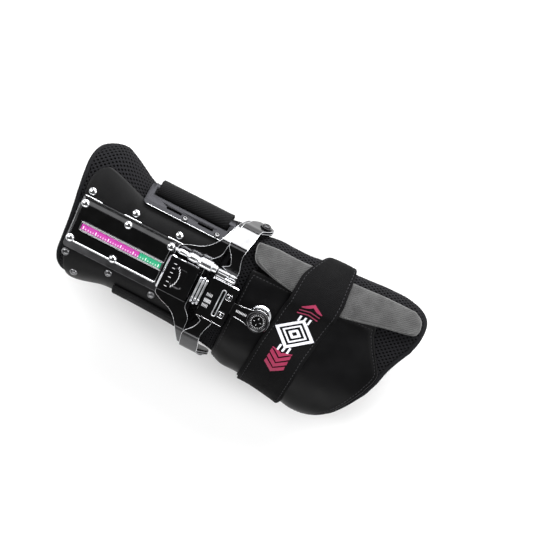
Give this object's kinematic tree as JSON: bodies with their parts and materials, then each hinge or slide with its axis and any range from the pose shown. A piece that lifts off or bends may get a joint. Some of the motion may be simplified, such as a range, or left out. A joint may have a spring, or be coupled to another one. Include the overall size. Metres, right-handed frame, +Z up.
{
  "type": "bowling glove",
  "caption": "Rigid bowling glove for the right hand: riveted forearm cuff, pivoting side arms, adjusting mechanism with a release lever, padded hand section and two straps.",
  "frame": {"origin": "middle of the footprint, on the surface it rests on", "axes": "+X from the elbow to the fingers, +Y to the thumb side, +Z up from the back of the hand"},
  "size_m": [0.2842, 0.1308, 0.073],
  "materials": {
    "dark_chrome": "polished, dark",
    "bright_chrome": "polished",
    "satin_steel": "satin",
    "magenta_label": "printed label",
    "green_label": "printed label",
    "vinyl": "grained vinyl",
    "mesh_fabric": "spacer mesh",
    "leather": "smooth",
    "suede": "suede",
    "band_fabric": "elastic webbing, printed",
    "strap_fabric": "twill webbing"
  },
  "bodies": {
    "brace": {"forearm_liner": "mesh_fabric", "forearm_cuff": "vinyl", "wrist_liner": "mesh_fabric", "hand_liner": "mesh_fabric", "hand_panel": "leather", "index_support": "suede", "hand_strap": "band_fabric", "base_plate": "satin_steel", "cover_plate": "dark_chrome", "scale_frame": "bright_chrome", "scale_strip": "magenta_label", "scale_tab": "green_label", "rivet_plate_thumb_1": "bright_chrome", "rivet_cuff_thumb_1": "bright_chrome", "rivet_plate_outer_1": "bright_chrome", "rivet_cuff_outer_1": "bright_chrome", "rivet_plate_thumb_3": "bright_chrome", "rivet_plate_thumb_2": "bright_chrome", "rivet_cuff_thumb_2": "bright_chrome", "rivet_plate_outer_2": "bright_chrome", "rivet_cuff_outer_2": "bright_chrome", "rivet_cuff_thumb_3": "bright_chrome", "rivet_cuff_outer_3": "bright_chrome", "rivet_cuff_corner": "bright_chrome", "wrist_saddle": "dark_chrome", "hand_yoke": "dark_chrome", "pivot_thumb": "bright_chrome", "pivot_outer": "bright_chrome", "mechanism_box": "dark_chrome", "hinge_block": "dark_chrome", "hinge_rod_1": "bright_chrome", "hinge_rod_2": "bright_chrome", "hinge_rod_3": "bright_chrome", "front_plate": "dark_chrome", "front_screw_1": "bright_chrome", "front_screw_2": "bright_chrome", "adjuster_barrel": "bright_chrome", "adjuster_clamp": "bright_chrome", "side_bracket": "satin_steel", "bracket_screw_1": "bright_chrome", "bracket_screw_2": "bright_chrome", "forearm_strap": "strap_fabric"},
    "lever": {"release_lever": "dark_chrome", "lever_wheel": "bright_chrome"}
  },
  "joints": [
    {"name": "release_lever_hinge", "type": "hinge", "parent": "brace", "child": "lever", "pos_m": [0.00431, -0.0003, 0.0692], "axis": [0, -1, 0], "range_deg": [0, 70]}
  ]
}
